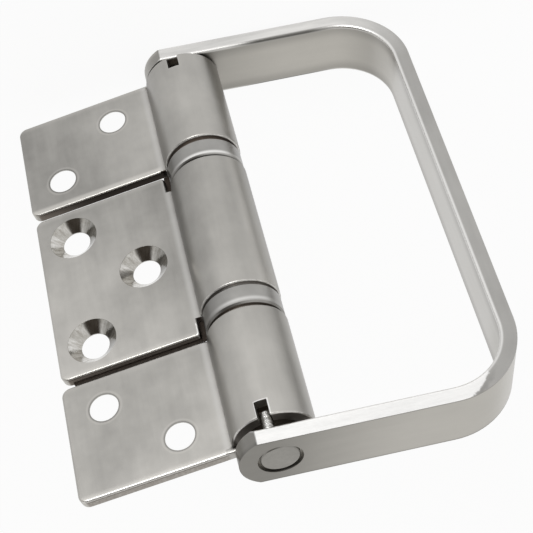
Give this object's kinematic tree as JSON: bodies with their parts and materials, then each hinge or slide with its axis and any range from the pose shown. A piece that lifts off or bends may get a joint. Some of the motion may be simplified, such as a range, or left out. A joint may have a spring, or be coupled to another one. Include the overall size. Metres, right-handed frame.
{
  "type": "bifold door hinge with pull handle",
  "caption": "Bifold door hinge: leaves with rolled knuckles on one pin, ball bearings between the knuckles, and a flat-bar D-handle keyed to the pin's ends.",
  "frame": {"origin": "on the far face of the middle leaf, the face that seats on the panel's edge, 25 mm from the pin axis and half way up the hinge", "axes": "+Z along the pin, +X from the pin towards the leaves' free edges, +Y out of the middle leaf's seating face"},
  "size_m": [0.0916, 0.0261, 0.1091],
  "materials": {
    "leaf_steel": "satin stainless steel sheet, fine brushed grain",
    "bush_steel": "turned steel bush, dull",
    "bearing_steel": "oiled bearing steel",
    "cup_steel": "turned and polished stainless steel",
    "pin_steel": "ground stainless steel, faced ends",
    "dowel_steel": "bright steel dowel",
    "handle_steel": "flat stainless bar, brushed along its length"
  },
  "bodies": {
    "root": {"upper_leaf": "leaf_steel", "lower_leaf": "leaf_steel", "upper_bush": "bush_steel", "lower_bush": "bush_steel", "upper_bearing_race": "bearing_steel", "lower_bearing_race": "bearing_steel", "hinge_pin": "pin_steel", "pull_handle": "handle_steel", "handle_dowel": "dowel_steel"},
    "middle": {"middle_leaf": "leaf_steel", "middle_bush": "bush_steel", "upper_bearing_cup": "cup_steel", "lower_bearing_cup": "cup_steel", "upper_bearing_balls": "bearing_steel", "lower_bearing_balls": "bearing_steel"}
  },
  "joints": [
    {"name": "middle_leaf_swing", "type": "hinge", "parent": "root", "child": "middle", "pos_m": [-0.025, -0.00125, 0], "axis": [0, 0, 1], "range_deg": [0, 180]}
  ]
}
